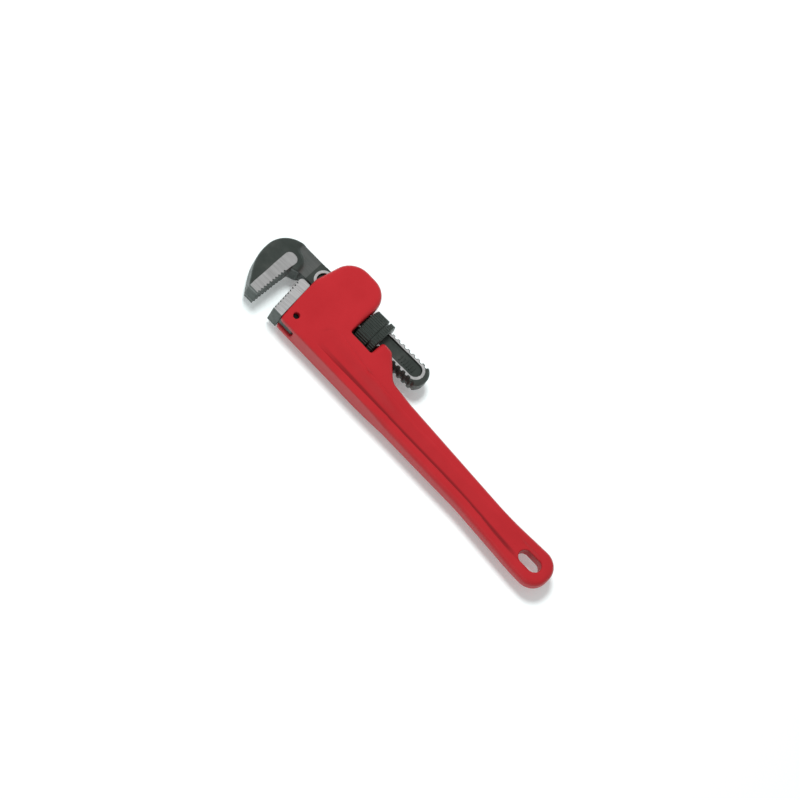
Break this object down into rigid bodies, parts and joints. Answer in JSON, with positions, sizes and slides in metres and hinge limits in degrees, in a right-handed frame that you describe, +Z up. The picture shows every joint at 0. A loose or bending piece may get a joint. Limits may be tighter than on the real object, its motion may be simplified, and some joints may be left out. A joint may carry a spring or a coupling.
{
  "type": "pipe wrench",
  "caption": "Straight pipe wrench: hooked sliding jaw, toothed heel jaw, knurled adjusting nut in a window and an I-beam handle with a hang hole.",
  "frame": {"origin": "middle of the underside of the wrench lying on its side, jaws at rest", "axes": "+X from the jaws to the end of the handle, +Y the back of the wrench (the mouth faces -Y), +Z up through its thickness"},
  "size_m": [0.3154, 0.0786, 0.03],
  "materials": {
    "red_paint": "glossy enamel over cast iron",
    "black_steel": "black oxide, satin",
    "ground_steel": "ground, fine grain",
    "spring_steel": "oiled"
  },
  "bodies": {
    "casting": {"handle": "red_paint", "heel_jaw": "ground_steel", "heel_jaw_pin": "black_steel", "coil_spring": "spring_steel"},
    "spring_leaf": {"flat_spring": "spring_steel", "spring_rivet": "spring_steel"},
    "hook": {"hook_jaw": "black_steel"},
    "nut": {"adjusting_nut": "black_steel"}
  },
  "joints": [
    {"name": "jaw_rock", "type": "hinge", "parent": "casting", "child": "spring_leaf", "pos_m": [-0.05907, 0.01392, 0.015], "axis": [0, 0, 1], "range_deg": [-4.5, 0.5], "stiffness_Nm_per_rad": 8, "deforming": ["coil_spring"]},
    {"name": "jaw_slide", "type": "slide", "parent": "spring_leaf", "child": "hook", "axis": [0.9997, 0.0262, 0], "range_m": [-0.037, 0.01]},
    {"name": "nut_spin", "type": "hinge", "parent": "spring_leaf", "child": "nut", "pos_m": [-0.05907, 0.01392, 0.015], "axis": [0.9997, 0.0262, 0], "range_deg": [-725, 2670]}
  ],
  "couplings": [
    {"joint": "nut_spin", "follows": "jaw_slide", "rad_per_m": -1256.6}
  ]
}
